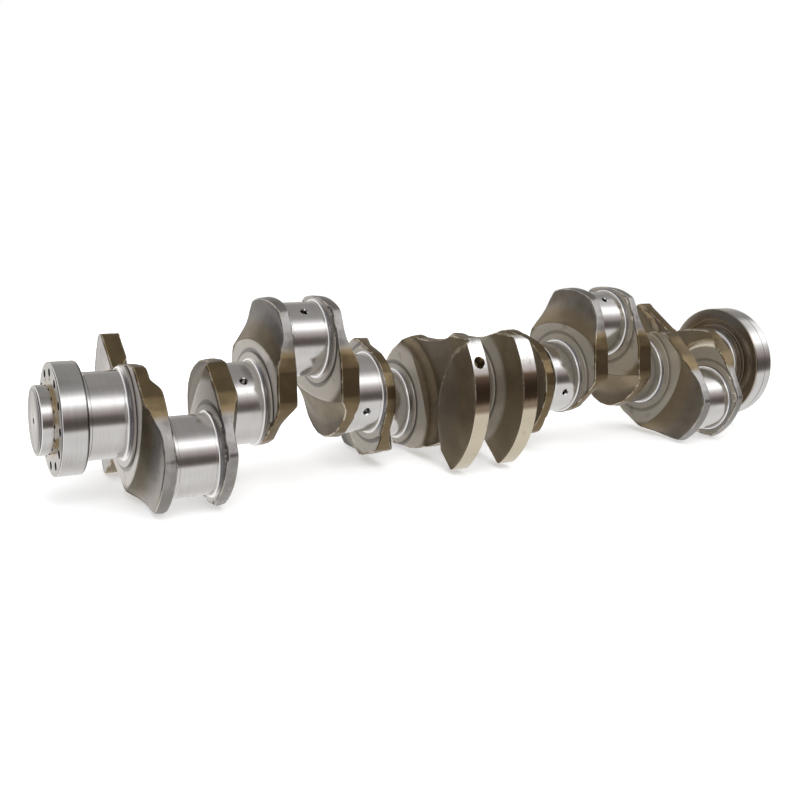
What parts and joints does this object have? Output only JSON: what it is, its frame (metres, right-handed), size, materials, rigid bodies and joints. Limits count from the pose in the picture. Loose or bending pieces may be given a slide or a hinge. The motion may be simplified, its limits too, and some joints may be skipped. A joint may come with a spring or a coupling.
{
  "type": "crankshaft",
  "caption": "Forged steel crankshaft of a straight-six engine, with ground journals and crankpins, webs, counterweights, a drilled front flange with a spigot and a wide rear flange",
  "frame": {"origin": "on the crank axis, at the centre of the rear flange's outer face, where the flywheel is bolted", "axes": "+X along the crank axis from the front spigot towards the rear flange, so that the whole part lies at negative x; +Z towards crankpins 2 and 5, which stand straight up; +Y away from crankpins 1 and 6"},
  "size_m": [1.0928, 0.2541, 0.2264],
  "materials": {
    "ground_steel": "cylindrically ground and polished steel, bright, with fine lines round the axis",
    "forged_steel": "hot-forged steel, brown-grey and lightly oiled, with turned lighter discs round the journals",
    "turned_steel": "turned steel, lightly oiled, with machining lines round the axis"
  },
  "bodies": {
    "root": {"main_journal_1": "ground_steel", "main_journal_2": "ground_steel", "main_journal_3": "ground_steel", "main_journal_4": "ground_steel", "main_journal_5": "ground_steel", "main_journal_6": "ground_steel", "main_journal_7": "ground_steel", "crankpin_1": "ground_steel", "crankpin_2": "ground_steel", "crankpin_3": "ground_steel", "crankpin_4": "ground_steel", "crankpin_5": "ground_steel", "crankpin_6": "ground_steel", "counterweight_web_1": "forged_steel", "web_2": "forged_steel", "web_3": "forged_steel", "web_4": "forged_steel", "web_5": "forged_steel", "counterweight_web_6": "forged_steel", "counterweight_web_7": "forged_steel", "web_8": "forged_steel", "web_9": "forged_steel", "web_10": "forged_steel", "web_11": "forged_steel", "counterweight_web_12": "forged_steel", "front_flange": "turned_steel", "front_spigot": "turned_steel", "rear_flange": "turned_steel"}
  },
  "joints": []
}
